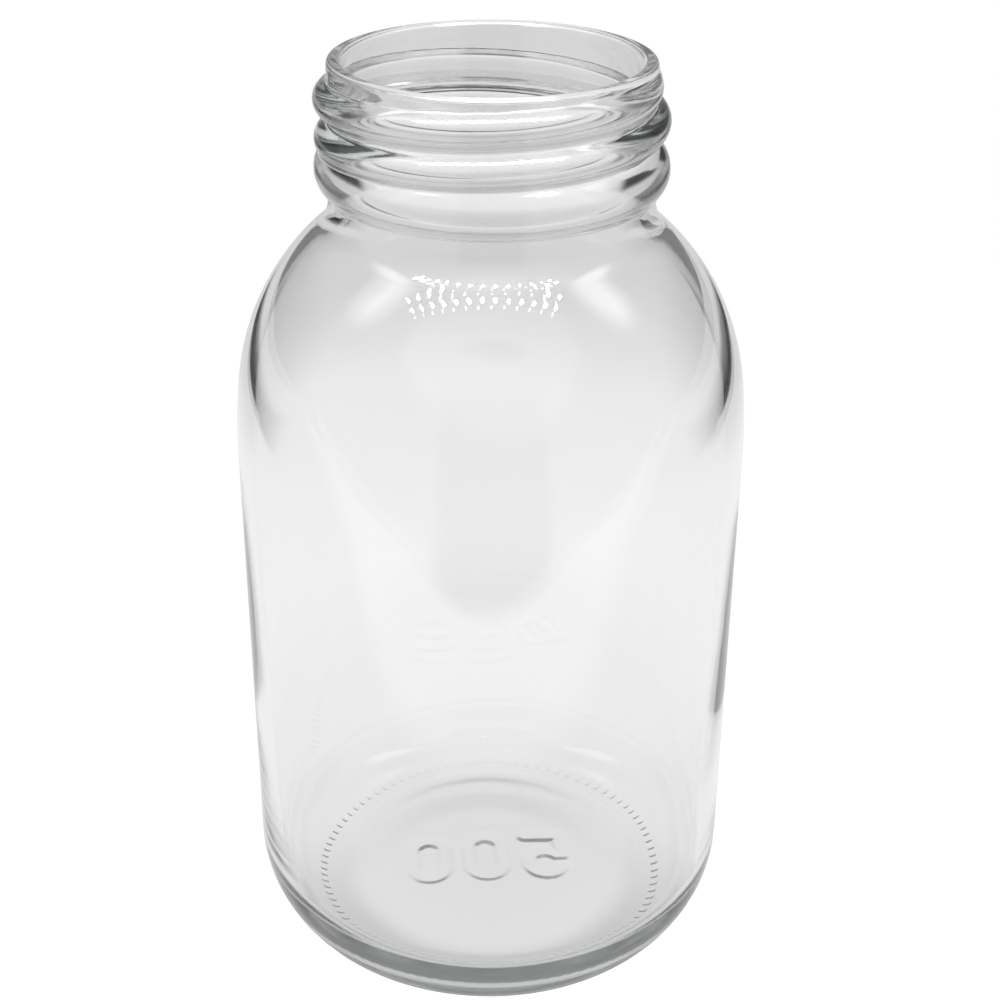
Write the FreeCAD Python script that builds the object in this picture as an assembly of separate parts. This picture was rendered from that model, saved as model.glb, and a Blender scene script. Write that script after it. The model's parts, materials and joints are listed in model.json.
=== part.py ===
"""Wide-mouthed 500 ml glass milk bottle with a two-turn screw finish.

The bottle is one piece of blown glass. Its zones are closed solids that meet face to face: the finish with
its lip, tube, thread and bead, the shoulder, the straight wall, the heel, and the base with its knurls and
numerals. Millimetres, +Z up, origin on the axis in the plane that the bottle stands on. -Y is the front.
"""
import FreeCAD, Part
import math
import os

# Driving dimensions: body
BODY_RADIUS = 40.4
BODY_WALL = 2.6
SHOULDER_START = 88.5
SHOULDER_EASE_RADIUS = 97.5
SHOULDER_EASE_ANGLE = 7.0
SHOULDER_RADIUS = 38.0
NECK_FILLET = 6.3

# Driving dimensions: heel and base
HEEL_LOWER_RADIUS = 10.6
HEEL_UPPER_RADIUS = 18.7
HEEL_JOIN_ANGLE = 37.4
HEEL_STRAIGHT = 2.0
INNER_HEEL_RADIUS = 10.2
FLOOR_HEIGHT = 5.4
PUSH_UP = 2.2
BEARING_WIDTH = 2.0
PLATE_INSET = 4.0

# Driving dimensions: finish
BORE_RADIUS = 22.1
LIP_WALL = 2.2
LIP_DEPTH = 2.8
LIP_EDGE_RADIUS = 0.7
NECK_STEP = 0.4
NECK_STRAIGHT = 0.7
FINISH_HEIGHT = 20.2
BEAD_HEIGHT = 2.35
BEAD_ARC_RADIUS = 5.5

# Driving dimensions: thread
THREAD_PITCH = 5.8
THREAD_HEIGHT = 2.15
THREAD_GAP = 0.6
THREAD_DROP = 2.9
THREAD_END_RISE = 1.4
THREAD_FADE_ANGLE = 60.0
THREAD_END_HEIGHT = 0.3

# Driving dimensions: knurls
KNURL_COUNT = 96
KNURL_WIDTH = 1.0
KNURL_LENGTH = 3.3
KNURL_INSET = 1.5

# Driving dimensions: capacity number
NUMERAL_HEIGHT = 12.4
NUMERAL_WIDTH = 8.1
NUMERAL_STROKE = 2.3
NUMERAL_PITCH = 10.2
NUMERAL_RELIEF = 0.5
NUMERAL_OFFSET = 1.2
NUMERAL_TILT = 5.0
FIVE_TAIL_ANGLE = 205.0
FIVE_HOOK_ANGLE = 495.0

AXIS = FreeCAD.Vector(0, 0, 1)
ORIGIN = FreeCAD.Vector(0, 0, 0)
DIRECTION_STEP = 0.01


def at(radius, height):
    """Point of the half section."""
    return FreeCAD.Vector(radius, 0, height)


def on_circle(centre, radius, angle):
    """Point of the half section on a circle, with the angle in degrees from the outward direction."""
    turn = math.radians(angle)
    return at(centre.x + radius * math.cos(turn), centre.z + radius * math.sin(turn))


def arc(centre, radius, start, end):
    """Circular edge of the half section between two angles in degrees."""
    ends = [on_circle(centre, radius, angle) for angle in (start, (start + end) / 2, end)]
    return Part.Arc(*ends).toShape()


def run(*points):
    """Straight edges through the points."""
    return [Part.LineSegment(a, b).toShape() for a, b in zip(points, points[1:])]


def turned(edges, angle=360.0):
    """Solid that a closed half section sweeps about the axis."""
    return Part.Face(Part.Wire(edges)).revolve(ORIGIN, AXIS, angle)


def half_chord(radius, offset):
    """Half the chord of a circle at a distance from its centre."""
    return math.sqrt(radius ** 2 - offset ** 2)


# Worked-out sizes: heel and base
inner_radius = BODY_RADIUS - BODY_WALL
heel_easing = HEEL_UPPER_RADIUS - HEEL_LOWER_RADIUS
wall_start = HEEL_LOWER_RADIUS + heel_easing * math.sin(math.radians(HEEL_JOIN_ANGLE))
upper_heel_centre = at(BODY_RADIUS - HEEL_UPPER_RADIUS, wall_start)
lower_heel_centre = on_circle(upper_heel_centre, heel_easing, -HEEL_JOIN_ANGLE)
inner_heel_centre = at(inner_radius - INNER_HEEL_RADIUS, FLOOR_HEIGHT + INNER_HEEL_RADIUS)
heel_top = max(wall_start, inner_heel_centre.z) + HEEL_STRAIGHT
bearing_outer = lower_heel_centre.x
bearing_inner = bearing_outer - BEARING_WIDTH
plate_radius = min(bearing_inner, inner_heel_centre.x) - PLATE_INSET
push_up_radius = (bearing_inner ** 2 + PUSH_UP ** 2) / (2 * PUSH_UP)
push_up_centre = at(0, PUSH_UP - push_up_radius)

# Worked-out sizes: neck and finish
lip_radius = BORE_RADIUS + LIP_WALL
neck_radius = lip_radius + NECK_STEP
ease_centre = at(BODY_RADIUS - SHOULDER_EASE_RADIUS, SHOULDER_START)
shoulder_centre = on_circle(ease_centre, SHOULDER_EASE_RADIUS - SHOULDER_RADIUS, SHOULDER_EASE_ANGLE)


def fillet_centre(dome, fillet, neck):
    """Centre of the fillet that joins a dome round the shoulder's centre to an upright neck."""
    across = neck + fillet - shoulder_centre.x
    return at(neck + fillet, shoulder_centre.z + half_chord(dome + fillet, across))


inner_fillet = NECK_FILLET + neck_radius - BORE_RADIUS
outer_fillet_centre = fillet_centre(SHOULDER_RADIUS, NECK_FILLET, neck_radius)
inner_fillet_centre = fillet_centre(SHOULDER_RADIUS - BODY_WALL, inner_fillet, BORE_RADIUS)
neck_top = max(outer_fillet_centre.z, inner_fillet_centre.z) + NECK_STRAIGHT
bead_arc_offset = lip_radius + BEAD_HEIGHT - BEAD_ARC_RADIUS
bead_crest = neck_top + half_chord(BEAD_ARC_RADIUS, neck_radius - bead_arc_offset)
bead_top = bead_crest + half_chord(BEAD_ARC_RADIUS, lip_radius - bead_arc_offset)
land_height = neck_top + FINISH_HEIGHT
lip_bottom = land_height - LIP_DEPTH

# Worked-out sizes: thread
thread_half_width = (THREAD_PITCH - THREAD_GAP) / 2
thread_section_radius = (thread_half_width ** 2 + THREAD_HEIGHT ** 2) / (2 * THREAD_HEIGHT)
thread_turn = 360 * (land_height - THREAD_DROP - bead_crest - THREAD_END_RISE) / THREAD_PITCH


def tangent_angle(start, end):
    """Angle in degrees of the line from one centre to another in the half section."""
    return math.degrees(math.atan2(end.z - start.z, end.x - start.x))


def make_heel():
    """Rounded lower corner, with the flat ring that the bottle stands on."""
    plate_angle = math.degrees(math.acos(plate_radius / push_up_radius))
    bearing_angle = math.degrees(math.acos(bearing_inner / push_up_radius))
    plate_edge = on_circle(push_up_centre, push_up_radius, plate_angle)
    return turned(
        [arc(push_up_centre, push_up_radius, plate_angle, bearing_angle)]
        + run(at(bearing_inner, 0), at(bearing_outer, 0))
        + [arc(lower_heel_centre, HEEL_LOWER_RADIUS, -90, -HEEL_JOIN_ANGLE)]
        + [arc(upper_heel_centre, HEEL_UPPER_RADIUS, -HEEL_JOIN_ANGLE, 0)]
        + run(at(BODY_RADIUS, wall_start), at(BODY_RADIUS, heel_top), at(inner_radius, heel_top),
              at(inner_radius, inner_heel_centre.z))
        + [arc(inner_heel_centre, INNER_HEEL_RADIUS, 0, -90)]
        + run(at(inner_heel_centre.x, FLOOR_HEIGHT), at(plate_radius, FLOOR_HEIGHT), plate_edge)
    )


def make_base_plate():
    """Floor inside the heel, hollowed below by the push-up."""
    disc = Part.makeCylinder(plate_radius, FLOOR_HEIGHT)
    return disc.cut(Part.makeSphere(push_up_radius, push_up_centre))


def make_body_wall():
    """Straight wall between the heel and the shoulder."""
    corners = (at(inner_radius, heel_top), at(BODY_RADIUS, heel_top), at(BODY_RADIUS, SHOULDER_START),
               at(inner_radius, SHOULDER_START))
    return turned(run(*corners, corners[0]))


def make_shoulder():
    """Dome from the straight wall to the neck: an easing arc, the shoulder's arc and the neck's fillet."""
    outer_join = tangent_angle(shoulder_centre, outer_fillet_centre)
    inner_join = tangent_angle(shoulder_centre, inner_fillet_centre)
    inner_ease = SHOULDER_EASE_RADIUS - BODY_WALL
    return turned(
        [arc(ease_centre, SHOULDER_EASE_RADIUS, 0, SHOULDER_EASE_ANGLE)]
        + [arc(shoulder_centre, SHOULDER_RADIUS, SHOULDER_EASE_ANGLE, outer_join)]
        + [arc(outer_fillet_centre, NECK_FILLET, outer_join + 180, 180)]
        + run(at(neck_radius, outer_fillet_centre.z), at(neck_radius, neck_top), at(BORE_RADIUS, neck_top),
              at(BORE_RADIUS, inner_fillet_centre.z))
        + [arc(inner_fillet_centre, inner_fillet, 180, inner_join + 180)]
        + [arc(shoulder_centre, SHOULDER_RADIUS - BODY_WALL, inner_join, SHOULDER_EASE_ANGLE)]
        + [arc(ease_centre, inner_ease, SHOULDER_EASE_ANGLE, 0)]
        + run(at(inner_radius, SHOULDER_START), at(BODY_RADIUS, SHOULDER_START))
    )


def make_neck_tube():
    """Straight tube that carries the bead and the thread."""
    corners = (at(BORE_RADIUS, neck_top), at(lip_radius, neck_top), at(lip_radius, lip_bottom),
               at(BORE_RADIUS, lip_bottom))
    return turned(run(*corners, corners[0]))


def make_sealing_lip():
    """Top rim with rounded edges and the flat land that a cap seals on."""
    edge = min(LIP_EDGE_RADIUS, LIP_WALL / 3)
    outer = at(lip_radius - edge, land_height - edge)
    inner = at(BORE_RADIUS + edge, land_height - edge)
    return turned(
        run(at(BORE_RADIUS, inner.z), at(BORE_RADIUS, lip_bottom), at(lip_radius, lip_bottom),
            at(lip_radius, outer.z))
        + [arc(outer, edge, 0, 90)]
        + run(at(outer.x, land_height), at(inner.x, land_height))
        + [arc(inner, edge, 90, 180)]
    )


def make_transfer_bead():
    """Full round ring on the tube, just above the neck."""
    centre = at(bead_arc_offset, bead_crest)
    foot = tangent_angle(centre, at(neck_radius, neck_top))
    crown = tangent_angle(centre, at(lip_radius, bead_top))
    return turned(
        [arc(centre, BEAD_ARC_RADIUS, foot, crown)]
        + run(at(lip_radius, bead_top), at(lip_radius, neck_top), at(neck_radius, neck_top))
    )


def thread_point(turn):
    """Point of the thread's centre line at a turn in degrees, clockwise and down from the start at +X."""
    fade = max(0.0, 1 - min(turn, thread_turn - turn) / THREAD_FADE_ANGLE)
    crest = THREAD_HEIGHT - (THREAD_HEIGHT - THREAD_END_HEIGHT) * fade ** 2
    radius = lip_radius + crest - thread_section_radius
    angle = -math.radians(turn)
    height = land_height - THREAD_DROP - THREAD_PITCH * turn / 360
    return FreeCAD.Vector(radius * math.cos(angle), radius * math.sin(angle), height)


def thread_direction(turn):
    """Direction in which the thread's centre line runs at a turn."""
    return (thread_point(turn + DIRECTION_STEP) - thread_point(turn - DIRECTION_STEP)).normalize()


def tangent_arc(start, apex, end):
    """Circular edge that leaves its start towards the apex and reaches its end from there."""
    chord_middle = (start + end) / 2
    slope = math.atan2((apex - chord_middle).Length, (end - start).Length / 2)
    crown = chord_middle + (apex - chord_middle) * (math.tan(slope / 2) / math.tan(slope))
    return Part.Arc(start, crown, end).toShape()


def tangent_arcs(first, second):
    """Two arcs that join smoothly between two turns of the thread's centre line."""
    start, end = thread_point(first), thread_point(second)
    start_way, end_way = thread_direction(first), thread_direction(second)
    span = end - start
    ways = start_way + end_way
    bend = 2 * (1 - start_way.dot(end_way))
    along = span.dot(ways)
    reach = (math.sqrt(along ** 2 + bend * span.dot(span)) - along) / bend
    apexes = (start + start_way * reach, end - end_way * reach)
    middle = (apexes[0] + apexes[1]) / 2
    return [tangent_arc(start, apexes[0], middle), tangent_arc(middle, apexes[1], end)]


def make_screw_thread(bead):
    """Round right-hand ridge that rises out of the lip's side and runs down into the bead."""
    full_run = thread_turn - 2 * THREAD_FADE_ANGLE
    quarters = math.ceil(full_run / 90)
    turns = [THREAD_FADE_ANGLE + full_run * index / quarters for index in range(quarters + 1)]
    turns = [0.0] + turns + [thread_turn]
    spine = Part.Wire([edge for pair in zip(turns, turns[1:]) for edge in tangent_arcs(*pair)])
    section = Part.Wire(Part.Circle(thread_point(0), thread_direction(0), thread_section_radius).toShape())
    ridge = spine.makePipeShell([section], True)
    core = Part.makeCylinder(lip_radius, land_height)
    return ridge.cut(core).cut(bead)


def make_bearing_knurls():
    """Ring of short bars between the standing plane and the heel."""
    near = KNURL_INSET
    far = KNURL_INSET + KNURL_LENGTH
    near_angle = -math.degrees(math.acos(near / HEEL_LOWER_RADIUS))
    far_angle = -math.degrees(math.acos(far / HEEL_LOWER_RADIUS))
    near_top = on_circle(lower_heel_centre, HEEL_LOWER_RADIUS, near_angle)
    far_top = on_circle(lower_heel_centre, HEEL_LOWER_RADIUS, far_angle)
    outline = run(near_top, at(near_top.x, 0), at(far_top.x, 0), far_top)
    outline.append(arc(lower_heel_centre, HEEL_LOWER_RADIUS, far_angle, near_angle))
    width_angle = math.degrees(KNURL_WIDTH / ((near_top.x + far_top.x) / 2))
    bar = turned(outline, width_angle)
    bars = []
    for index in range(KNURL_COUNT):
        copy = bar.copy()
        copy.rotate(ORIGIN, AXIS, 360 * index / KNURL_COUNT - width_angle / 2)
        bars.append(copy)
    return Part.makeCompound(bars)


def slot_face(width, height):
    """Face with straight sides and round ends, in the plane of the axes X and Y."""
    radius = width / 2
    rise = height / 2 - radius
    ends = ((radius, -rise), (radius, rise), (-radius, rise), (-radius, -rise))
    corners = [FreeCAD.Vector(x, y, 0) for x, y in ends]
    crown = Part.Arc(corners[1], FreeCAD.Vector(0, rise + radius, 0), corners[2]).toShape()
    foot = Part.Arc(corners[3], FreeCAD.Vector(0, -rise - radius, 0), corners[0]).toShape()
    return Part.Face(Part.Wire(run(corners[0], corners[1]) + [crown] + run(corners[2], corners[3]) + [foot]))


def make_zero():
    """Face of the figure 0."""
    counter = slot_face(NUMERAL_WIDTH - 2 * NUMERAL_STROKE, NUMERAL_HEIGHT - 2 * NUMERAL_STROKE)
    return slot_face(NUMERAL_WIDTH, NUMERAL_HEIGHT).cut(counter)


def make_five():
    """Face of the figure 5: a bar, an upright and a round bowl."""
    bowl_radius = NUMERAL_WIDTH / 2
    bowl_centre = FreeCAD.Vector(0, bowl_radius - NUMERAL_HEIGHT / 2, 0)
    left = -NUMERAL_WIDTH / 2
    top = NUMERAL_HEIGHT / 2

    def bowl_arc(radius, start, end):
        """Edge of the bowl between two angles in degrees."""
        angles = [math.radians(angle) for angle in (start, (start + end) / 2, end)]
        points = [bowl_centre + FreeCAD.Vector(math.cos(a), math.sin(a), 0) * radius for a in angles]
        return Part.Arc(*points).toShape(), points[0], points[2]

    outer, outer_tail, outer_hook = bowl_arc(bowl_radius, FIVE_TAIL_ANGLE, FIVE_HOOK_ANGLE)
    inner, inner_tail, inner_hook = bowl_arc(bowl_radius - NUMERAL_STROKE, FIVE_TAIL_ANGLE, FIVE_HOOK_ANGLE)
    bowl = Part.Face(Part.Wire([outer] + run(outer_hook, inner_hook) + [inner] + run(inner_tail, outer_tail)))
    foot = (outer_hook.y + inner_hook.y) / 2
    upright = Part.makePlane(NUMERAL_STROKE, top - foot, FreeCAD.Vector(left, foot, 0))
    bar = Part.makePlane(NUMERAL_WIDTH, NUMERAL_STROKE, FreeCAD.Vector(left, top - NUMERAL_STROKE, 0))
    return bowl.multiFuse([upright, bar]).removeSplitter()


def make_capacity_numerals():
    """Raised number on the push-up, which reads right from below."""
    skin = Part.makeSphere(push_up_radius, push_up_centre).cut(
        Part.makeSphere(push_up_radius - NUMERAL_RELIEF, push_up_centre))
    figures = []
    for index, face in enumerate((make_five(), make_zero(), make_zero())):
        figure = face.extrude(AXIS * FLOOR_HEIGHT)
        figure.translate(FreeCAD.Vector((index - 1) * NUMERAL_PITCH, NUMERAL_OFFSET, 0))
        figure = figure.mirror(ORIGIN, FreeCAD.Vector(1, 0, 0))
        figure.rotate(ORIGIN, AXIS, NUMERAL_TILT)
        figures.append(figure.common(skin))
    return Part.makeCompound([solid for figure in figures for solid in figure.Solids])


def main():
    """Write each zone of the glass to its own file."""
    bead = make_transfer_bead()
    zones = {
        "sealing_lip": make_sealing_lip(),
        "neck_tube": make_neck_tube(),
        "screw_thread": make_screw_thread(bead),
        "transfer_bead": bead,
        "shoulder": make_shoulder(),
        "body_wall": make_body_wall(),
        "heel": make_heel(),
        "base_plate": make_base_plate(),
        "bearing_knurls": make_bearing_knurls(),
        "capacity_numerals": make_capacity_numerals(),
    }
    os.makedirs("parts", exist_ok=True)
    for name, shape in zones.items():
        shape.exportStep(f"parts/{name}.step")
        box = shape.optimalBoundingBox()
        print(f"{name}: {len(shape.Solids)} solids, valid {shape.isValid()}, {shape.Volume:.1f} mm3,"
              f" z {box.ZMin:.2f} to {box.ZMax:.2f}, radius {max(box.XMax, box.YMax):.2f}")


main()
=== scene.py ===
"""Looks of the wide-mouthed glass milk bottle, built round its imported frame.

The bottle is one piece of blown glass, so its looks are one closed skin: a half section drawn from the
underside round to the floor inside, spun about the axis, then raised where the mould has its thread, bead,
knurls and capacity number. Sizes are in millimetres and turn into metres where a mesh is made.
"""
import json
import logging
import math
from dataclasses import dataclass, field
from enum import Enum
from typing import Any, Optional, Union

import bmesh
import bpy
import numpy as np
from mathutils import Matrix, Vector


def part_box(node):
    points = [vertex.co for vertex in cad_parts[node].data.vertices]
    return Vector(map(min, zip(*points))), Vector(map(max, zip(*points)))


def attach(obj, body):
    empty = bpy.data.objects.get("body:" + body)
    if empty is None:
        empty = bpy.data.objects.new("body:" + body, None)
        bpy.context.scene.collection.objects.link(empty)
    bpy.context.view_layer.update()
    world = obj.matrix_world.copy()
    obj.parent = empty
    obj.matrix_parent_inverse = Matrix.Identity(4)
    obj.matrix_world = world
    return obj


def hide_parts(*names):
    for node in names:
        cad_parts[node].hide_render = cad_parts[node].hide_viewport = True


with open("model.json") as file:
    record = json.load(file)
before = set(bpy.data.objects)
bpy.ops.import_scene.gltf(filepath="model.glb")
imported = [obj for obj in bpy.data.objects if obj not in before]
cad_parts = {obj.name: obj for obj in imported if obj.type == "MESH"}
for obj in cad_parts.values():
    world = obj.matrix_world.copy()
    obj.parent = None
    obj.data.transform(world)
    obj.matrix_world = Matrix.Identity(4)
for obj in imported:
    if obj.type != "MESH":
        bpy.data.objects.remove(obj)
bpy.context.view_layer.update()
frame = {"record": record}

MM = 0.001
GLASS_BOUNCES = 48
log = logging.getLogger("milk_bottle")


class Skin(Enum):
    """The two sides of the glass."""

    OUTSIDE = 0
    INSIDE = 1


def smooth_max(first: np.ndarray, second: np.ndarray, fillet: float) -> np.ndarray:
    """Join two surfaces with a soft fillet.

    Args:
        first: Heights of one surface.
        second: Heights of the other surface.
        fillet: Difference of height over which they blend.

    Returns:
        The higher of the two, eased where they meet.
    """
    blend = np.maximum(fillet - np.abs(first - second), 0.0) / fillet
    return np.maximum(first, second) + blend * blend * fillet / 4


def smooth_step(value: np.ndarray, low: float, high: float) -> np.ndarray:
    """Ease from 0 at the low bound to 1 at the high one.

    Args:
        value: Where to look.
        low: Bound at which the step starts.
        high: Bound at which the step ends.

    Returns:
        The eased share.
    """
    share = np.clip((value - low) / (high - low), 0.0, 1.0)
    return share * share * (3 - 2 * share)


@dataclass
class HalfSection:
    """Line that is spun into glass, drawn from the underside round to the floor inside."""

    points: list[tuple[float, float]] = field(default_factory=list)
    skins: list[Skin] = field(default_factory=list)
    skin: Skin = Skin.OUTSIDE

    def point(self, radius: float, height: float) -> None:
        """Add one point of the section.

        Args:
            radius: Distance of the point from the axis.
            height: Height of the point.
        """
        self.points.append((radius, height))
        self.skins.append(self.skin)

    def line(self, radius: float, height: float, steps: int = 1) -> None:
        """Draw a straight run from the last point.

        Args:
            radius: Radius of the run's end.
            height: Height of the run's end.
            steps: Number of points along the run.
        """
        start_radius, start_height = self.points[-1]
        for step in range(1, steps + 1):
            share = step / steps
            self.point(start_radius + (radius - start_radius) * share,
                       start_height + (height - start_height) * share)

    def arc(self, centre: tuple[float, float], radius: float, start: float, end: float, steps: int) -> None:
        """Draw an arc that starts on the last point.

        Args:
            centre: Centre of the arc.
            radius: Radius of the arc.
            start: Angle of its start, in degrees from the outward direction.
            end: Angle of its end.
            steps: Number of points along the arc.
        """
        for step in range(1, steps + 1):
            angle = math.radians(start + (end - start) * step / steps)
            self.point(centre[0] + radius * math.cos(angle), centre[1] + radius * math.sin(angle))


@dataclass
class Base:
    """Heel, standing ring and floor, with the knurls and the number that the bottom plate leaves."""

    body_radius: float
    inner_radius: float
    floor_height: float
    lower_radius: float = 10.6
    upper_radius: float = 18.7
    join_angle: float = 37.4
    inner_heel_radius: float = 10.2
    push_up: float = 2.2
    bearing_width: float = 2.0
    bearing_ease: float = 0.2
    underside_top: float = 3.6
    plate_rows: int = 44
    knurl_rows: int = 6
    heel_rows: int = 13
    floor_rows: int = 10
    knurl_count: int = 96
    knurl_width: float = 1.0
    knurl_length: float = 1.7
    knurl_inset: float = 2.2
    knurl_ease: float = 0.32
    knurl_relief: float = 0.2
    numeral_height: float = 12.4
    numeral_width: float = 8.1
    numeral_stroke: float = 2.3
    numeral_pitch: float = 10.2
    numeral_relief: float = 0.3
    numeral_offset: float = 1.2
    numeral_tilt: float = 5.0
    numeral_ease: float = 0.85
    five_tail_angle: float = 205.0
    five_hook_angle: float = 135.0

    @property
    def wall_start(self) -> float:
        """Height where the heel meets the straight wall."""
        easing = self.upper_radius - self.lower_radius
        return self.lower_radius + easing * math.sin(math.radians(self.join_angle))

    @property
    def bearing_outer(self) -> float:
        """Outer radius of the ring that the bottle stands on."""
        easing = self.upper_radius - self.lower_radius
        return self.body_radius - self.upper_radius + easing * math.cos(math.radians(self.join_angle))

    @property
    def bearing_inner(self) -> float:
        """Inner radius of the ring that the bottle stands on."""
        return self.bearing_outer - self.bearing_width

    @property
    def push_up_radius(self) -> float:
        """Radius of the hollow under the base."""
        return (self.bearing_inner ** 2 + self.push_up ** 2) / (2 * self.push_up)

    def draw_outside(self, section: HalfSection) -> None:
        """Draw the underside and the heel's outer side.

        Args:
            section: Half section that the line is added to.
        """
        section.point(0.0, self.push_up)
        for row in range(1, self.plate_rows + 1):
            radius = self.bearing_outer * row / self.plate_rows
            section.point(radius, float(self.push_up_height(np.array(radius))))
        lower_centre = (self.bearing_outer, self.lower_radius)
        knurl_end = self.knurl_inset + self.knurl_length + self.knurl_ease
        knurl_angle = -math.degrees(math.acos(knurl_end / self.lower_radius))
        section.arc(lower_centre, self.lower_radius, -90.0, knurl_angle, self.knurl_rows)
        section.arc(lower_centre, self.lower_radius, knurl_angle, -self.join_angle, self.heel_rows // 3)
        upper_centre = (self.body_radius - self.upper_radius, self.wall_start)
        section.arc(upper_centre, self.upper_radius, -self.join_angle, 0.0, self.heel_rows)

    def draw_inside(self, section: HalfSection) -> None:
        """Draw the inner heel and the floor.

        Args:
            section: Half section that the line is added to.
        """
        corner = self.inner_radius - self.inner_heel_radius
        centre = (corner, self.floor_height + self.inner_heel_radius)
        section.arc(centre, self.inner_heel_radius, 0.0, -90.0, self.heel_rows)
        section.line(0.0, self.floor_height, self.floor_rows)

    def push_up_height(self, radius: np.ndarray) -> np.ndarray:
        """Height of the underside.

        Args:
            radius: Distances from the axis, inside the standing ring.

        Returns:
            Heights of the hollow, eased into the standing ring.
        """
        dome = np.sqrt(self.push_up_radius ** 2 - radius ** 2) - self.push_up_radius + self.push_up
        return smooth_max(dome, np.zeros_like(radius), self.bearing_ease)

    def stroke_distance(self, across: np.ndarray, along: np.ndarray) -> np.ndarray:
        """Distance from the edge of the number's strokes, negative inside them.

        Args:
            across: Places along X.
            along: Places along Y.

        Returns:
            Distances to the nearest stroke's edge.
        """
        tilt = math.radians(self.numeral_tilt)
        right = -(across * math.cos(tilt) + along * math.sin(tilt))
        up = along * math.cos(tilt) - across * math.sin(tilt) - self.numeral_offset
        nearest = self.five_line(right + self.numeral_pitch, up)
        for place in (0.0, self.numeral_pitch):
            nearest = np.minimum(nearest, self.zero_line(right - place, up))
        return nearest - self.numeral_stroke / 2

    def zero_line(self, right: np.ndarray, up: np.ndarray) -> np.ndarray:
        """Distance from the middle line of the figure 0.

        Args:
            right: Places across the figure.
            up: Places up the figure.

        Returns:
            Distances to the line.
        """
        bend = (self.numeral_width - self.numeral_stroke) / 2
        rise = (self.numeral_height - self.numeral_stroke) / 2 - bend
        return np.abs(np.hypot(right, np.maximum(np.abs(up) - rise, 0.0)) - bend)

    def five_line(self, right: np.ndarray, up: np.ndarray) -> np.ndarray:
        """Distance from the middle line of the figure 5.

        Args:
            right: Places across the figure.
            up: Places up the figure.

        Returns:
            Distances to the line.
        """
        bend = (self.numeral_width - self.numeral_stroke) / 2
        top = (self.numeral_height - self.numeral_stroke) / 2
        bowl_up = up + top - bend
        angle = np.degrees(np.arctan2(bowl_up, right)) % 360
        open_side = (angle > self.five_hook_angle) & (angle < self.five_tail_angle)
        bowl = np.abs(np.hypot(right, bowl_up) - bend)
        ends = []
        for end in (self.five_hook_angle, self.five_tail_angle):
            turn = math.radians(end)
            ends.append(np.hypot(right - bend * math.cos(turn), bowl_up - bend * math.sin(turn)))
        bowl = np.where(open_side, np.minimum(*ends), bowl)
        hook_up = bend - top + bend * math.sin(math.radians(self.five_hook_angle))
        upright = np.hypot(right + bend, up - np.clip(up, hook_up, top))
        bar = np.hypot(right - np.clip(right, -bend, bend), up - top)
        return np.minimum(bowl, np.minimum(upright, bar))

    def knurl_share(self, radius: np.ndarray, turn: np.ndarray) -> np.ndarray:
        """Share of a knurl's bar at places of the heel.

        Args:
            radius: Distances from the axis.
            turn: Angles about the axis, in radians.

        Returns:
            1 on a bar, 0 beside it, with soft edges.
        """
        pitch = 2 * math.pi / self.knurl_count
        off = np.abs((turn + pitch / 2) % pitch - pitch / 2) * radius
        half = self.knurl_width / 2
        across = 1 - smooth_step(off, half - self.knurl_ease, half + self.knurl_ease)
        near = self.bearing_outer + self.knurl_inset
        far = near + self.knurl_length
        along = smooth_step(radius, near - self.knurl_ease, near + self.knurl_ease)
        along *= 1 - smooth_step(radius, far - self.knurl_ease, far + self.knurl_ease)
        return across * along

    def raise_underside(self, places: np.ndarray) -> np.ndarray:
        """Raise the number and the knurls on the underside.

        Args:
            places: Points of the underside and the heel, one row each.

        Returns:
            The moved points.
        """
        radius = np.hypot(places[:, 0], places[:, 1])
        turn = np.arctan2(places[:, 1], places[:, 0])
        inner = np.minimum(radius, self.bearing_outer)
        plate = self.push_up_height(inner)
        strokes = self.stroke_distance(places[:, 0], places[:, 1])
        plate -= self.numeral_relief * (1 - smooth_step(strokes, -self.numeral_ease, self.numeral_ease))
        off = np.clip(radius - self.bearing_outer, 0.0, self.lower_radius)
        heel = self.lower_radius - np.sqrt(self.lower_radius ** 2 - off ** 2)
        heel -= np.minimum(heel, self.knurl_relief) * self.knurl_share(radius, turn)
        moved = places.copy()
        moved[:, 2] = np.where(radius < self.bearing_outer, plate, heel)
        return moved


@dataclass
class Wall:
    """Straight round wall between the heel and the shoulder."""

    radius: float
    inner_radius: float
    inner_bottom: float
    top: float
    rows: int = 9

    def draw_outside(self, section: HalfSection) -> None:
        """Draw the wall's outer side upwards.

        Args:
            section: Half section that the line is added to.
        """
        section.line(self.radius, self.top, self.rows)

    def draw_inside(self, section: HalfSection) -> None:
        """Draw the wall's inner side downwards.

        Args:
            section: Half section that the line is added to.
        """
        section.line(self.inner_radius, self.inner_bottom, self.rows)


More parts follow.
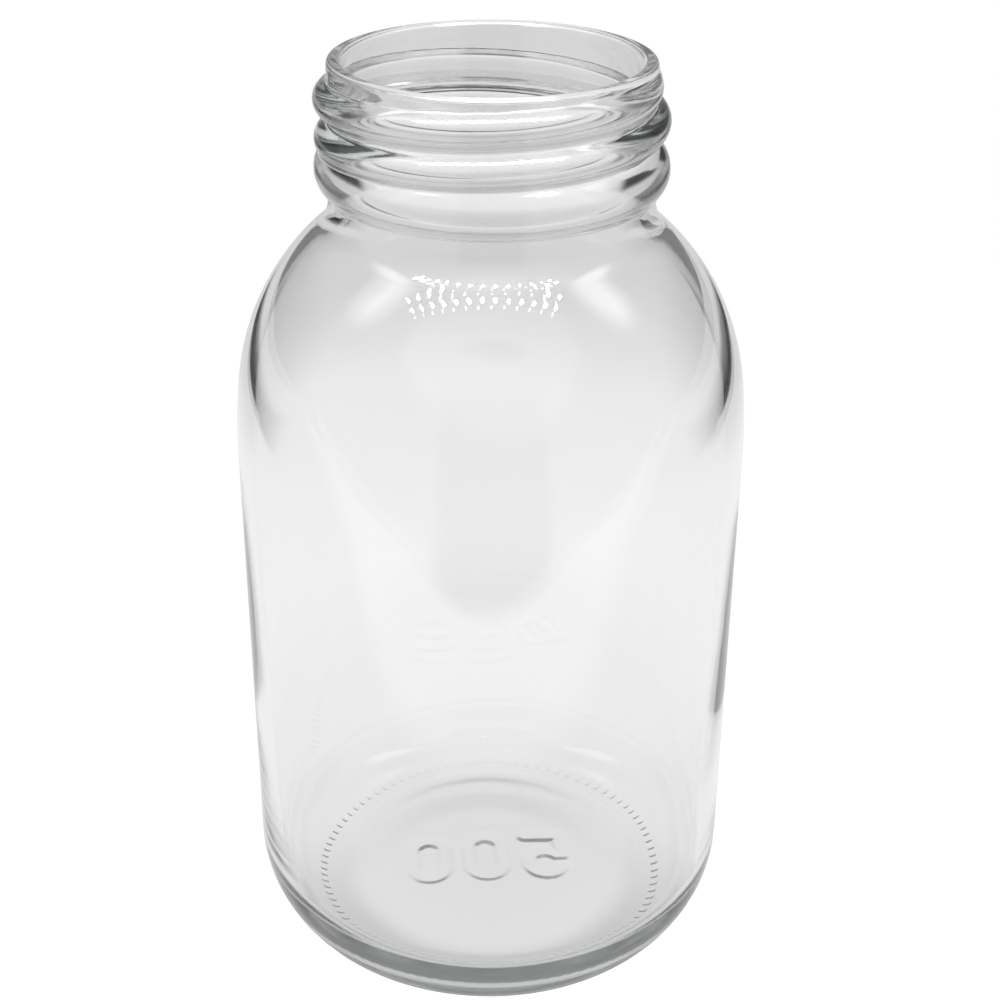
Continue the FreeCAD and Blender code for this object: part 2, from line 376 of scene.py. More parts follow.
@dataclass
class Shoulder:
    """Dome from the wall to the neck: an easing arc, the dome's arc and the neck's fillet."""

    wall_radius: float
    start: float
    neck_radius: float
    bore_radius: float
    glass: float = 2.6
    ease_radius: float = 97.5
    ease_angle: float = 7.0
    dome_radius: float = 38.0
    fillet: float = 6.3
    ease_rows: int = 6
    dome_rows: int = 19
    fillet_rows: int = 9

    @property
    def ease_centre(self) -> tuple[float, float]:
        """Centre of the easing arc."""
        return self.wall_radius - self.ease_radius, self.start

    @property
    def dome_centre(self) -> tuple[float, float]:
        """Centre of the dome's arc."""
        angle = math.radians(self.ease_angle)
        reach = self.ease_radius - self.dome_radius
        across, height = self.ease_centre
        return across + reach * math.cos(angle), height + reach * math.sin(angle)

    @property
    def inner_fillet(self) -> float:
        """Radius of the fillet inside the neck."""
        return self.fillet + self.neck_radius - self.bore_radius

    def fillet_centre(self, dome: float, fillet: float, neck: float) -> tuple[float, float]:
        """Centre of the fillet between the dome and an upright neck.

        Args:
            dome: Radius of the dome's arc.
            fillet: Radius of the fillet.
            neck: Radius of the neck.

        Returns:
            Radius and height of the centre.
        """
        across = neck + fillet - self.dome_centre[0]
        rise = math.sqrt((dome + fillet) ** 2 - across ** 2)
        return neck + fillet, self.dome_centre[1] + rise

    def join_angle(self, centre: tuple[float, float]) -> float:
        """Angle on the dome where a fillet joins it.

        Args:
            centre: Centre of the fillet.

        Returns:
            The angle in degrees.
        """
        return math.degrees(math.atan2(centre[1] - self.dome_centre[1], centre[0] - self.dome_centre[0]))

    def draw_outside(self, section: HalfSection) -> None:
        """Draw the shoulder's outer side upwards.

        Args:
            section: Half section that the line is added to.
        """
        centre = self.fillet_centre(self.dome_radius, self.fillet, self.neck_radius)
        join = self.join_angle(centre)
        section.arc(self.ease_centre, self.ease_radius, 0.0, self.ease_angle, self.ease_rows)
        section.arc(self.dome_centre, self.dome_radius, self.ease_angle, join, self.dome_rows)
        section.arc(centre, self.fillet, join + 180, 180.0, self.fillet_rows)

    def draw_inside(self, section: HalfSection) -> None:
        """Draw the shoulder's inner side downwards.

        Args:
            section: Half section that the line is added to.
        """
        centre = self.fillet_centre(self.dome_radius - self.glass, self.inner_fillet, self.bore_radius)
        join = self.join_angle(centre)
        section.arc(centre, self.inner_fillet, 180.0, join + 180, self.fillet_rows)
        section.arc(self.dome_centre, self.dome_radius - self.glass, join, self.ease_angle, self.dome_rows)
        section.arc(self.ease_centre, self.ease_radius - self.glass, self.ease_angle, 0.0, self.ease_rows)


@dataclass
class ScrewFinish:
    """Neck with the bead, the two turns of thread and the lip."""

    lip_radius: float
    bottom: float
    land_height: float
    bead_radius: float
    bore_radius: float
    bore_bottom: float
    neck_step: float = 0.4
    bead_arc_radius: float = 4.5
    bead_rise: float = 4.2
    lip_edge: float = 0.7
    thread_pitch: float = 5.8
    thread_height: float = 2.15
    thread_gap: float = 0.6
    thread_drop: float = 2.9
    thread_end_rise: float = 1.4
    thread_fade: float = 60.0
    thread_end_height: float = 0.3
    thread_overrun: float = 12.0
    root_fillet: float = 0.6
    bead_fillet: float = 1.0
    rows: int = 104
    edge_rows: int = 5
    bore_rows: int = 16

    @property
    def bead_crest(self) -> float:
        """Height of the bead's widest circle."""
        return self.bottom + self.bead_rise

    @property
    def thread_section(self) -> float:
        """Radius of the thread's round section."""
        half = (self.thread_pitch - self.thread_gap) / 2
        return (half ** 2 + self.thread_height ** 2) / (2 * self.thread_height)

    @property
    def thread_turn(self) -> float:
        """Turn of the whole thread in degrees."""
        drop = self.land_height - self.thread_drop - self.bead_crest - self.thread_end_rise
        return 360 * drop / self.thread_pitch

    def draw_outside(self, section: HalfSection) -> None:
        """Draw the plain tube and the lip.

        Args:
            section: Half section that the line is added to.
        """
        edge = self.lip_edge
        section.line(self.lip_radius, self.land_height - edge, self.rows)
        section.arc((self.lip_radius - edge, self.land_height - edge), edge, 0.0, 90.0, self.edge_rows)
        section.line(self.bore_radius + edge, self.land_height, 2)

    def draw_inside(self, section: HalfSection) -> None:
        """Draw the lip's inner edge and the bore.

        Args:
            section: Half section that the line is added to.
        """
        edge = self.lip_edge
        section.arc((self.bore_radius + edge, self.land_height - edge), edge, 90.0, 180.0, self.edge_rows)
        section.line(self.bore_radius, self.bore_bottom, self.bore_rows)

    def bead(self, height: np.ndarray) -> np.ndarray:
        """Radius of the bead at heights.

        Args:
            height: Heights in the finish.

        Returns:
            Radii of the bead's arc, or 0 where it has none.
        """
        off = np.clip(np.abs(height - self.bead_crest), 0.0, self.bead_arc_radius)
        arc = np.sqrt(self.bead_arc_radius ** 2 - off ** 2)
        return self.bead_radius - self.bead_arc_radius + arc

    def ridge(self, turn: np.ndarray, height: np.ndarray) -> np.ndarray:
        """Radius of the thread at one turn of its path.

        Args:
            turn: Turns along the thread, in degrees, clockwise and down from the start.
            height: Heights in the finish.

        Returns:
            Radii of the thread's round section, or 0 beyond its ends.
        """
        to_end = np.minimum(turn, self.thread_turn - turn)
        fade = np.maximum(1 - to_end / self.thread_fade, 0.0)
        crest = self.thread_height - (self.thread_height - self.thread_end_height) * fade ** 2
        middle = self.land_height - self.thread_drop - self.thread_pitch * turn / 360
        off = np.clip(np.abs(height - middle), 0.0, self.thread_section)
        arc = np.sqrt(self.thread_section ** 2 - off ** 2)
        radius = self.lip_radius + crest - self.thread_section + arc
        return np.where(to_end > -self.thread_overrun, radius, 0.0)

    def raise_finish(self, places: np.ndarray) -> np.ndarray:
        """Raise the bead and the thread on the tube.

        Args:
            places: Points of the finish's outer side, one row each.

        Returns:
            The moved points.
        """
        turn = np.arctan2(places[:, 1], places[:, 0])
        tube = np.hypot(places[:, 0], places[:, 1])
        height = places[:, 2]
        radius = smooth_max(tube, self.bead(height), self.bead_fillet)
        first = np.degrees(-turn) % 360
        for lap in range(-1, 3):
            radius = smooth_max(radius, self.ridge(first + 360 * lap, height), self.root_fillet)
        fade_low = smooth_step(height, self.bottom, self.bottom + 2 * self.neck_step)
        lip_start = self.land_height - self.lip_edge
        fade_high = 1 - smooth_step(height, lip_start - self.lip_edge, lip_start)
        radius = tube + (radius - tube) * fade_low * fade_high
        moved = places.copy()
        moved[:, 0] = radius * np.cos(turn)
        moved[:, 1] = radius * np.sin(turn)
        return moved


class ShaderValue:
    """Shader socket that takes part in Python expressions, each of which adds a Math node."""

    def __init__(self, graph: "ShaderGraph", socket: bpy.types.NodeSocket) -> None:
        """Wrap a socket.

        Args:
            graph: Graph that the socket is in.
            socket: The socket.
        """
        self.graph = graph
        self.socket = socket

    def _join(self, operation: str, first: "Operand", second: "Operand") -> "ShaderValue":
        """Add a Math node.

        Args:
            operation: What the node does.
            first: Its first operand.
            second: Its second operand.

        Returns:
            The node's value.
        """
        return self.graph.node("ShaderNodeMath", {"operation": operation}, {0: first, 1: second})

    def __add__(self, other: "Operand") -> "ShaderValue":
        """Sum of two values."""
        return self._join("ADD", self, other)

    def __radd__(self, other: "Operand") -> "ShaderValue":
        """Sum with a number first."""
        return self._join("ADD", other, self)

    def __sub__(self, other: "Operand") -> "ShaderValue":
        """Difference of two values."""
        return self._join("SUBTRACT", self, other)

    def __rsub__(self, other: "Operand") -> "ShaderValue":
        """Difference with a number first."""
        return self._join("SUBTRACT", other, self)

    def __mul__(self, other: "Operand") -> "ShaderValue":
        """Product of two values."""
        return self._join("MULTIPLY", self, other)

    def __rmul__(self, other: "Operand") -> "ShaderValue":
        """Product with a number first."""
        return self._join("MULTIPLY", other, self)

    def __truediv__(self, other: "Operand") -> "ShaderValue":
        """Quotient of two values."""
        return self._join("DIVIDE", self, other)


Operand = Union[ShaderValue, float]


class ShaderGraph:
    """Node tree that is filled from Python."""

    def __init__(self, tree: bpy.types.NodeTree) -> None:
        """Empty a tree for use.

        Args:
            tree: The node tree.
        """
        self.tree = tree
        tree.nodes.clear()

    def node(self, kind: str, settings: Optional[dict[str, Any]] = None,
             inputs: Optional[dict[Any, Any]] = None, output: Any = 0) -> Optional[ShaderValue]:
        """Add a node.

        Args:
            kind: Type of the node.
            settings: Properties that are set first; "stops" holds a ramp's places and colours.
            inputs: Values or links of its sockets, by name or number.
            output: Socket that the result wraps.

        Returns:
            The wrapped output, or None where the node has none.
        """
        made = self.tree.nodes.new(kind)
        for name, value in (settings or {}).items():
            if name == "stops":
                self._set_stops(made.color_ramp, value)
            else:
                setattr(made, name, value)
        for key, value in (inputs or {}).items():
            socket = made.inputs[key]
            if isinstance(value, ShaderValue):
                self.tree.links.new(value.socket, socket)
            else:
                socket.default_value = value
        return ShaderValue(self, made.outputs[output]) if len(made.outputs) else None

    def axis(self, place: ShaderValue, name: str) -> ShaderValue:
        """Take one axis of a vector.

        Args:
            place: The vector.
            name: Letter of the axis.

        Returns:
            The axis's value.
        """
        return self.node("ShaderNodeSeparateXYZ", {}, {0: place}, name)

    def eased(self, value: ShaderValue, low: float, high: float) -> ShaderValue:
        """Ease from 0 at the low bound to 1 at the high one.

        Args:
            value: Value that is looked at.
            low: Bound at which the step starts.
            high: Bound at which the step ends.

        Returns:
            The eased share.
        """
        return self.node("ShaderNodeMapRange", {"interpolation_type": "SMOOTHSTEP"}, {
            "Value": value, "From Min": low, "From Max": high})

    @staticmethod
    def _set_stops(ramp: bpy.types.ColorRamp, stops: list[tuple[float, float]]) -> None:
        """Set a ramp's stops.

        Args:
            ramp: The ramp.
            stops: Places and grey levels.
        """
        while len(ramp.elements) < len(stops):
            ramp.elements.new(1.0)
        for element, (place, grey) in zip(ramp.elements, stops):
            element.position = place
            element.color = (grey, grey, grey, 1.0)


@dataclass(frozen=True)
class FlintGlass:
    """Clear bottle glass: fire-polished, faintly wavy, grey in its depth.

    The finish and the underside, which touch the mould longest, are a little less polished.
    """

    name: str = "flint_glass"
    tint: tuple[float, float, float, float] = (0.985, 0.987, 0.985, 1.0)
    index: float = 1.52
    smear: float = 0.012
    smear_scale: float = 55.0
    smear_detail: float = 3.0
    mould_blur: float = 0.07
    mould_band: tuple[float, float] = (0.1285, 0.1315)
    plate_blur: float = 0.12
    plate_band: tuple[float, float] = (0.0035, 0.007)
    depth_tint: tuple[float, float, float, float] = (0.80, 0.82, 0.81, 1.0)
    depth_density: float = 42.0
    wave_scale: float = 42.0
    wave_detail: float = 1.0
    wave_height: float = 0.00006

    def build(self) -> bpy.types.Material:
        """Make the material.

        Returns:
            The glass material.
        """
        material = bpy.data.materials.new(self.name)
        material.use_nodes = True
        graph = ShaderGraph(material.node_tree)
        place = graph.node("ShaderNodeTexCoord", output="Object")
        smears = graph.node("ShaderNodeTexNoise", {}, {
            "Vector": place, "Scale": self.smear_scale, "Detail": self.smear_detail})
        height = graph.axis(place, "Z")
        moulded = graph.eased(height, *self.mould_band)
        plate = 1 - graph.eased(height, *self.plate_band)
        blur = smears * self.smear + moulded * self.mould_blur + plate * self.plate_blur
        waves = graph.node("ShaderNodeTexNoise", {}, {
            "Vector": place, "Scale": self.wave_scale, "Detail": self.wave_detail})
        relief = graph.node("ShaderNodeBump", {}, {
            "Height": waves, "Distance": self.wave_height, "Strength": 1.0})
        surface = graph.node("ShaderNodeBsdfPrincipled", {}, {
            "Base Color": self.tint, "Roughness": blur, "IOR": self.index,
            "Transmission Weight": 1.0, "Normal": relief})
        depth = graph.node("ShaderNodeVolumeAbsorption", {}, {
            "Color": self.depth_tint, "Density": self.depth_density})
        graph.node("ShaderNodeOutputMaterial", {}, {"Surface": surface, "Volume": depth})
        return material


@dataclass
class Bottle:
    """The whole bottle: one closed skin of glass."""

    base: Base
    wall: Wall
    shoulder: Shoulder
    finish: ScrewFinish
    glass: FlintGlass = field(default_factory=FlintGlass)
    name: str = "bottle_glass"
    segments: int = 192
    merge_distance: float = 1e-6
    numeral_cuts: int = 2
    numeral_reach: float = 0.75
    knurl_cuts: int = 3
    ripple_height: float = 0.14
    ripple_waves: tuple[tuple[float, int, float, float], ...] = (
        (1.0, 3, 21.0, 0.6), (0.7, 5, -13.0, 2.1), (0.5, 2, 8.0, 4.0))
    ripple_low: tuple[float, float] = (-4.0, 8.0)
    ripple_high: tuple[float, float] = (-12.0, 0.0)
    batch: int = 4096
    nodes: tuple[str, ...] = ("sealing_lip", "neck_tube", "screw_thread", "transfer_bead", "shoulder",
                              "body_wall", "heel", "base_plate", "bearing_knurls", "capacity_numerals")

    @classmethod
    def from_frame(cls) -> "Bottle":
        """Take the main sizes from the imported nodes.

        Returns:
            The bottle with its zones.
        """
        heel_low, heel_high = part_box("heel")
        floor_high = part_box("base_plate")[1]
        shoulder_low, shoulder_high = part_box("shoulder")
        bead_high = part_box("transfer_bead")[1]
        lip_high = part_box("sealing_lip")[1]
        radius = heel_high.x / MM
        shoulder_glass = Shoulder.glass
        inner_radius = radius - shoulder_glass
        lip_radius = lip_high.x / MM
        bore_radius = frame["record"]["mounts"][1]["dims"]["r_mm"]
        base = Base(radius, inner_radius, floor_high.z / MM)
        shoulder = Shoulder(radius, shoulder_low.z / MM, lip_radius + ScrewFinish.neck_step, bore_radius)
        wall = Wall(radius, inner_radius, base.floor_height + base.inner_heel_radius, shoulder.start)
        bore_bottom = shoulder.fillet_centre(shoulder.dome_radius - shoulder_glass, shoulder.inner_fillet,
                                             bore_radius)[1]
        finish = ScrewFinish(lip_radius, shoulder_high.z / MM, lip_high.z / MM, bead_high.x / MM,
                             bore_radius, bore_bottom)
        return cls(base, wall, shoulder, finish)

    def section(self) -> HalfSection:
        """Draw the half section.

        Returns:
            The line from the underside round to the floor.
        """
        section = HalfSection()
        zones = (self.base, self.wall, self.shoulder, self.finish)
        for zone in zones:
            zone.draw_outside(section)
        section.skin = Skin.INSIDE
        for zone in reversed(zones):
            zone.draw_inside(section)
        return section

    def build(self) -> bpy.types.Object:
        """Model the glass and dress it.

        Returns:
            The finished piece.
        """
        section = self.section()
        piece = self.spin(section)
        self.refine()
        bpy.ops.object.mode_set(mode="OBJECT")
        self.shape(piece, section)
        bpy.ops.object.shade_smooth()
        piece.data.materials.append(self.glass.build())
        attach(piece, "root")
        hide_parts(*self.nodes)
        log.info("%s: %d faces", piece.name, len(piece.data.polygons))
        return piece

    def spin(self, section: HalfSection) -> bpy.types.Object:
        """Draw the section as an edge and spin it about the axis.

        Args:
            section: Half section of the glass.

        Returns:
            The spun piece, in edit mode.
        """
        bpy.ops.object.select_all(action="DESELECT")
        bpy.ops.mesh.primitive_plane_add(size=MM)
        piece = bpy.context.object
        piece.name = self.name
        bpy.ops.object.mode_set(mode="EDIT")
        bpy.ops.mesh.select_mode(type="VERT")
        bpy.ops.mesh.select_all(action="SELECT")
        bpy.ops.mesh.merge(type="CENTER")
        last = Vector((0.0, 0.0, 0.0))
        for index, (radius, height) in enumerate(section.points):
            place = Vector((radius * MM, 0.0, height * MM))
            if index == 0:
                bpy.ops.transform.translate(value=place - last)
            else:
                bpy.ops.mesh.extrude_region_move(TRANSFORM_OT_translate={"value": place - last})
            last = place
        bpy.ops.mesh.select_all(action="SELECT")
        bpy.ops.mesh.spin(steps=self.segments, angle=2 * math.pi, center=(0, 0, 0), axis=(0, 0, 1))
        bpy.ops.mesh.select_all(action="SELECT")
        bpy.ops.mesh.remove_doubles(threshold=self.merge_distance)
        bpy.ops.mesh.normals_make_consistent(inside=False)
        return piece

    def refine(self) -> None:
        """Cut the underside finer where it gets its number and its knurls."""
        base = self.base
        knurl_near = base.bearing_outer + base.knurl_inset - base.knurl_ease
        knurl_far = base.bearing_outer + base.knurl_inset + base.knurl_length + base.knurl_ease
        for cuts in (self.numeral_cuts, self.knurl_cuts):
            bpy.ops.mesh.select_mode(type="FACE")
            bpy.ops.mesh.select_all(action="DESELECT")
            mesh = bmesh.from_edit_mesh(bpy.context.object.data)
            for face in mesh.faces:
                middle = face.calc_center_median() / MM
                radius = math.hypot(middle.x, middle.y)
                if middle.z > base.underside_top:
                    continue
                if cuts == self.knurl_cuts:
                    face.select_set(knurl_near < radius < knurl_far)
                elif radius < base.bearing_inner:
                    off = base.stroke_distance(np.array(middle.x), np.array(middle.y))
                    face.select_set(bool(abs(off) < self.numeral_reach))
            bmesh.update_edit_mesh(bpy.context.object.data)
            bpy.ops.mesh.subdivide(number_cuts=cuts)

    def shape(self, piece: bpy.types.Object, section: HalfSection) -> None:
        """Raise the relief and let the inner skin ripple.

        Args:
            piece: The spun piece.
            section: Half section that it was spun from.
        """
        places = np.empty(len(piece.data.vertices) * 3, np.float32)
        piece.data.vertices.foreach_get("co", places)
        places = places.reshape(-1, 3).astype(float) / MM
        inside = self.inside(places, section)
        height = places[:, 2]
        radius = np.hypot(places[:, 0], places[:, 1])
        under = ~inside & (height < self.base.underside_top) & (
            radius < self.base.bearing_outer + self.base.lower_radius)
        places[under] = self.base.raise_underside(places[under])
        lip_start = self.finish.land_height - self.finish.lip_edge
        tube = ~inside & (height > self.finish.bottom) & (height < lip_start)
        places[tube] = self.finish.raise_finish(places[tube])
        places[inside] = self.ripple(places[inside])
        piece.data.vertices.foreach_set("co", (places * MM).astype(np.float32).ravel())
        piece.data.update()

    def inside(self, places: np.ndarray, section: HalfSection) -> np.ndarray:
        """Tell the inner skin from the outer one.

        Args:
            places: Points of the glass, one row each.
            section: Half section that they were spun from.

        Returns:
            True where a point is on the inner skin.
        """
        drawn = np.array(section.points)
        is_inside = np.array([skin is Skin.INSIDE for skin in section.skins])
        flat = np.stack([np.hypot(places[:, 0], places[:, 1]), places[:, 2]], axis=1)
        nearest = np.empty(len(flat), int)
        for start in range(0, len(flat), self.batch):
            gap = flat[start:start + self.batch, None, :] - drawn[None, :, :]
            nearest[start:start + self.batch] = np.argmin((gap ** 2).sum(axis=2), axis=1)
        return is_inside[nearest]

    def ripple(self, places: np.ndarray) -> np.ndarray:
        """Let the blown inner skin wander a little.

        Args:
            places: Points of the inner skin, one row each.

        Returns:
            The moved points.
        """
        turn = np.arctan2(places[:, 1], places[:, 0])
        height = places[:, 2]
        wave = np.zeros_like(turn)
        for weight, laps, length, start in self.ripple_waves:
            wave += weight * np.sin(laps * turn + height / length + start)
        low = smooth_step(height - self.wall.inner_bottom, *self.ripple_low)
        high = 1 - smooth_step(height - self.finish.bottom, *self.ripple_high)
        radius = np.maximum(np.hypot(places[:, 0], places[:, 1]), 1.0)
        share = 1 + self.ripple_height * wave * low * high / radius
        moved = places.copy()
        moved[:, 0] *= share
        moved[:, 1] *= share
        return moved


@dataclass
class PhotoCamera:
    """Camera at the photograph's viewing angle."""

    distance: float = 263.35
    height: float = 214.26
    pitch: float = 27.480
    yaw: float = 0.3409
    roll: float = 0.437
    lens: float = 65.094
    sensor: float = 36.0
    clip: float = 10.0

    def build(self) -> bpy.types.Object:
        """Set the camera up.

        Returns:
            The camera.
        """
        pitch, yaw, roll = (math.radians(angle) for angle in (self.pitch, self.yaw, self.roll))
        level_run = math.cos(pitch)
        forward = Vector((math.sin(yaw) * level_run, math.cos(yaw) * level_run, -math.sin(pitch)))
        level = Vector((math.cos(yaw), -math.sin(yaw), 0.0))
        upright = level.cross(forward)
        right = level * math.cos(roll) + upright * math.sin(roll)
        up = upright * math.cos(roll) - level * math.sin(roll)
        bpy.ops.object.camera_add()
        camera = bpy.context.object
        camera.name = "photo_camera"
        turn = Matrix((right, up, -forward)).transposed()
        place = Vector((0.0, -self.distance * MM, self.height * MM))
        camera.matrix_world = Matrix.Translation(place) @ turn.to_4x4()
        camera.data.lens = self.lens
        camera.data.sensor_width = self.sensor
        camera.data.sensor_fit = "HORIZONTAL"
        camera.data.clip_start = self.clip * MM
        bpy.context.scene.camera = camera
        log.info("camera: lens %.1f mm", self.lens)
        return camera


@dataclass(frozen=True)
class PaleFloor:
    """Pale floor that the camera sees as white.

    The glass sees it as painted light that dims with distance, with painted darker gaps along each side
    behind the bottle, a painted shadow of the heel, and painted brighter light in front with a painted
    darker aisle for the camera.
    """

    name: str = "pale_floor"
    paint: tuple[float, float, float, float] = (0.8, 0.8, 0.8, 1.0)
    camera_fill: float = 0.70
    reach: float = 1.2
    # Levels of painted light by distance from the bottle, as the glass sees the floor.
    glow: tuple[tuple[float, float], ...] = (
        (0.0, 0.8), (0.05, 0.9), (0.1, 0.95), (0.19, 0.91),
        (0.23, 0.81), (0.26, 0.75), (0.31, 0.7), (0.6, 0.68))
    # Painted darker gaps along each side behind the bottle, beyond the bright area's edge.
    sheet_edge: float = 0.285
    sheet_ease: float = 0.02
    gap_end: float = 0.38
    gap_ease: float = 0.2
    gap_start: float = 0.05
    gap_run: float = 0.08
    gap_back: float = 0.5
    gap_fade: float = 0.25
    gap_depth: float = 0.97
    # Painted shadow of the heel: a ring just round the standing ring, in front of the bottle.
    shade_start: tuple[float, float] = (0.021, 0.028)
    shade_end: tuple[float, float] = (0.034, 0.05)
    shade_front: tuple[float, float] = (-0.022, 0.014)
    shade: float = 0.3
    # Painted brighter light in a band in front of the bottle, and a painted darker aisle beyond it for the
    # camera.
    front_start: tuple[float, float] = (-0.12, -0.09)
    front_end: tuple[float, float] = (-0.175, -0.165)
    front_glow: float = 0.5
    aisle_edge: tuple[float, float] = (0.36, 0.48)
    aisle_shade: float = 0.6

    def build(self) -> bpy.types.Material:
        """Make the material.

        Returns:
            The floor's material.
        """
        material = bpy.data.materials.new(self.name)
        material.use_nodes = True
        graph = ShaderGraph(material.node_tree)
        place = graph.node("ShaderNodeTexCoord", output="Object")
        far = graph.node("ShaderNodeVectorMath", {"operation": "LENGTH"}, {0: place}, "Value")
        # Painted light that dims with distance from the bottle.
        glow = graph.node("ShaderNodeValToRGB", {"stops": self.glow}, {"Fac": far / self.reach})
        behind = graph.axis(place, "Y")
        # Painted shadow of the heel, in front of the bottle.
        shade = graph.eased(far, *self.shade_start) * (1 - graph.eased(far, *self.shade_end))
        shade *= 1 - graph.eased(behind, *self.shade_front)
        across = graph.node("ShaderNodeMath", {"operation": "ABSOLUTE"}, {0: graph.axis(place, "X")})
        # Painted darker gaps along each side behind the bottle.
        gap = graph.eased(across, self.sheet_edge - self.sheet_ease, self.sheet_edge)
        gap *= 1 - graph.eased(across, self.gap_end, self.gap_end + self.gap_ease)
        gap *= graph.eased(behind, self.gap_start, self.gap_start + self.gap_run)
        gap *= 1 - graph.eased(behind, self.gap_back, self.gap_back + self.gap_fade)
        seen = graph.node("ShaderNodeLightPath", output="Is Camera Ray")
        diffuse = graph.node("ShaderNodeLightPath", output="Is Diffuse Ray")
        # Painted brighter light in front, and a painted darker aisle beyond it for the camera.
        end = graph.eased(behind, *self.front_end)
        front = (1 - graph.eased(behind, *self.front_start)) * end
        aisle = (1 - graph.eased(across / (0 - behind), *self.aisle_edge)) * (1 - end)
        # Painted light and shade of the floor, which only the glass sees; the camera sees the even white
        # fill.
        painted_floor_light = glow * (1 - shade * self.shade) * (1 - gap * self.gap_depth)
        painted_floor_light = painted_floor_light * (1 - aisle * self.aisle_shade) + front * self.front_glow
        level = painted_floor_light * (1 - seen) * (1 - diffuse) + seen * self.camera_fill
        light = graph.node("ShaderNodeEmission", {}, {"Strength": level})
        paint = graph.node("ShaderNodeBsdfDiffuse", {}, {"Color": self.paint})
        hidden = graph.node("ShaderNodeEmission", {}, {"Strength": 0.0})
        matt = graph.node("ShaderNodeMixShader", {}, {0: seen, 1: hidden, 2: paint})
        both = graph.node("ShaderNodeAddShader", {}, {0: matt, 1: light})
        graph.node("ShaderNodeOutputMaterial", {}, {"Surface": both})
        return material


@dataclass(frozen=True)
class Glow:
    """Even light of a lamp."""

    name: str
    strength: float

    def build(self) -> bpy.types.Material:
        """Make the material.

        Returns:
            The lamp's material.
        """
        material = bpy.data.materials.new(self.name)
        material.use_nodes = True
        graph = ShaderGraph(material.node_tree)
        light = graph.node("ShaderNodeEmission", {}, {"Strength": self.strength})
        graph.node("ShaderNodeOutputMaterial", {}, {"Surface": light})
        return material


def hide_from_room(piece: bpy.types.Object) -> None:
    """Let only the glass show a lamp.

    Args:
        piece: The lamp, which goes to the stage.
    """
    piece.visible_camera = False
    piece.visible_diffuse = False
    piece.visible_shadow = False


@dataclass
class LampStrip:
    """Strip of small lamps above the set."""

    name: str = "lamp_strip"
    place: tuple[float, float, float] = (-0.02, -0.105, 0.40)
    columns: int = 13
    column_pitch: float = 0.028
    rows: int = 2
    row_pitch: float = 0.034
    lamp_size: tuple[float, float] = (0.005, 0.012)
    strength: float = 2000.0

    def build(self) -> bpy.types.Object:
        """Hang the strip.

        Returns:
            The strip.
        """
        bpy.ops.object.select_all(action="DESELECT")
        bpy.ops.mesh.primitive_plane_add(size=1.0)
        strip = bpy.context.object
        strip.name = self.name
        strip.scale = (self.lamp_size[0], self.lamp_size[1], 1.0)
        bpy.ops.object.transform_apply(location=False, rotation=False, scale=True)
        for count, offset in ((self.columns, (self.column_pitch, 0.0, 0.0)),
                              (self.rows, (0.0, self.row_pitch, 0.0))):
            array = strip.modifiers.new("row", "ARRAY")
            array.count = count
            array.use_relative_offset = False
            array.use_constant_offset = True
            array.constant_offset_displace = offset
            bpy.ops.object.modifier_apply(modifier=array.name)
        middle = ((self.columns - 1) * self.column_pitch / 2, (self.rows - 1) * self.row_pitch / 2, 0.0)
        strip.location = Vector(self.place) - Vector(middle)
        strip.data.materials.append(Glow(self.name, self.strength).build())
        hide_from_room(strip)
        return strip


@dataclass(frozen=True)
class SoftGlow:
    """Light of a soft box, brightest in its middle."""

    name: str
    strength: float
    middle: tuple[float, float, float] = (0.5, 0.5, 0.0)
    core: float = 0.15
    rim: float = 0.5

    def build(self) -> bpy.types.Material:
        """Make the material.

        Returns:
            The soft box's material.
        """
        material = bpy.data.materials.new(self.name)
        material.use_nodes = True
        graph = ShaderGraph(material.node_tree)
        place = graph.node("ShaderNodeTexCoord", output="UV")
        off = graph.node("ShaderNodeVectorMath", {"operation": "DISTANCE"},
                         {0: place, 1: self.middle}, "Value")
        light = graph.node("ShaderNodeEmission", {}, {"Strength": self.strength})
        clear = graph.node("ShaderNodeBsdfTransparent")
        edge = graph.eased(off, self.core, self.rim)
        cloth = graph.node("ShaderNodeMixShader", {}, {0: edge, 1: light, 2: clear})
        graph.node("ShaderNodeOutputMaterial", {}, {"Surface": cloth})
        return material


@dataclass
class SoftBox:
    """Soft box that faces the bottle's shoulder."""

    name: str
    place: tuple[float, float, float]
    size: tuple[float, float]
    aim: tuple[float, float, float] = (0.0, 0.0, 0.11)
    strength: float = 3.0

    def build(self) -> bpy.types.Object:
        """Hang the soft box.

        Returns:
            The soft box.
        """
        bpy.ops.object.select_all(action="DESELECT")
        bpy.ops.mesh.primitive_plane_add(size=1.0)
        box = bpy.context.object
        box.name = self.name
        box.scale = (self.size[0], self.size[1], 1.0)
        way = Vector(self.aim) - Vector(self.place)
        box.rotation_euler = way.to_track_quat("Z", "Y").to_euler()
        box.location = self.place
        box.data.materials.append(SoftGlow(self.name, self.strength).build())
        hide_from_room(box)
        return box


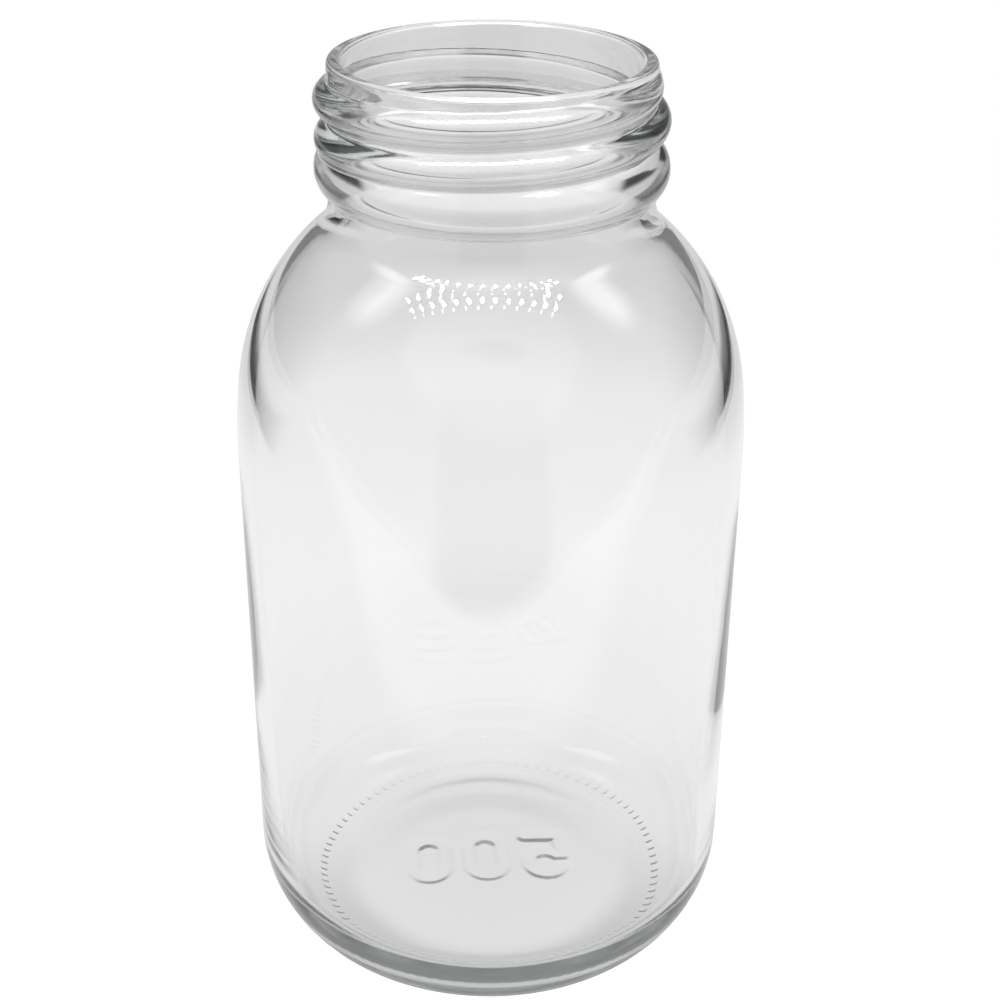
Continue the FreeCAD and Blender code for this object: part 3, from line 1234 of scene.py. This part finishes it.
@dataclass
class Studio:
    """Pale floor, soft surround and the lamps above."""

    floor_size: float = 6.0
    white: tuple[float, float, float, float] = (1.0, 1.0, 1.0, 1.0)
    front_level: float = 0.576
    aisle_edge: tuple[float, float] = (0.36, 0.48)
    aisle_top: tuple[float, float] = (0.3, 0.6)
    aisle_shade: float = 0.6
    back_level: float = 0.512
    low_level: float = 0.592
    side_level: float = 0.64
    top_level: float = 0.4
    room_light: float = 0.4
    box_place: tuple[float, float, float] = (0.36, -0.02, 0.5)
    box_size: tuple[float, float] = (0.2, 0.4)
    gap_depth: float = 0.7
    low_band: tuple[float, float] = (0.2, 0.5)
    top_band: tuple[float, float] = (0.75, 0.95)
    back_band: tuple[float, float] = (0.0, 0.35)
    front_band: tuple[float, float] = (-0.4, -0.2)
    gap_band: tuple[float, float] = (0.22, 0.4)
    side_band: tuple[float, float] = (0.75, 0.95)

    def build(self) -> None:
        """Build the floor, the surround and the lamps."""
        self.build_floor()
        self.build_world()
        LampStrip().build()
        for name, side in (("soft_box_left", -1), ("soft_box_right", 1)):
            across, depth, height = self.box_place
            SoftBox(name, (side * across, depth, height), self.box_size).build()

    def build_floor(self) -> None:
        """Lay the floor."""
        bpy.ops.object.select_all(action="DESELECT")
        bpy.ops.mesh.primitive_plane_add(size=self.floor_size)
        floor = bpy.context.object
        floor.name = "studio_floor"
        floor.data.materials.append(PaleFloor().build())

    def build_world(self) -> None:
        """Light the scene from all round, with a darker gap each side behind and an aisle in front."""
        world = bpy.data.worlds.new("soft_surround")
        bpy.context.scene.world = world
        world.use_nodes = True
        graph = ShaderGraph(world.node_tree)
        way = graph.node("ShaderNodeTexCoord", output="Generated")
        height = graph.axis(way, "Z")
        across = graph.node("ShaderNodeMath", {"operation": "ABSOLUTE"}, {0: graph.axis(way, "X")})
        depth = graph.axis(way, "Y")
        back = graph.eased(depth, *self.back_band)
        high = graph.eased(height, *self.top_band)
        low = 1 - graph.eased(height, *self.low_band)
        side = graph.eased(across, *self.side_band)
        gap = back * graph.eased(across, *self.gap_band) * low * self.gap_depth
        behind = low * (self.low_level - self.back_level) + self.back_level
        aisle = 1 - graph.eased(across / (0 - depth), *self.aisle_edge)
        aisle *= 1 - graph.eased(height, *self.aisle_top)
        aisle *= 1 - graph.eased(depth, *self.front_band)
        room = (1 - back) * self.front_level * (1 - aisle * self.aisle_shade) + back * behind
        room = room * (1 - side) + side * self.side_level
        level = (room * (1 - high) + high * self.top_level) * (1 - gap)
        seen = graph.node("ShaderNodeLightPath", output="Is Camera Ray")
        diffuse = graph.node("ShaderNodeLightPath", output="Is Diffuse Ray")
        shown = level * (1 - seen) * (1 - diffuse) + seen + diffuse * self.room_light
        glow = graph.node("ShaderNodeBackground", {}, {"Color": self.white, "Strength": shown})
        graph.node("ShaderNodeOutputWorld", {}, {"Surface": glow})


def main() -> None:
    """Build the bottle, the camera and the studio."""
    logging.basicConfig(level=logging.INFO)
    scene = bpy.context.scene
    scene.view_settings.view_transform = "Standard"
    scene.cycles.max_bounces = GLASS_BOUNCES
    scene.cycles.transmission_bounces = GLASS_BOUNCES
    scene.cycles.glossy_bounces = GLASS_BOUNCES // 2
    Bottle.from_frame().build()
    PhotoCamera().build()
    Studio().build()


if __name__ == "__main__":
    main()
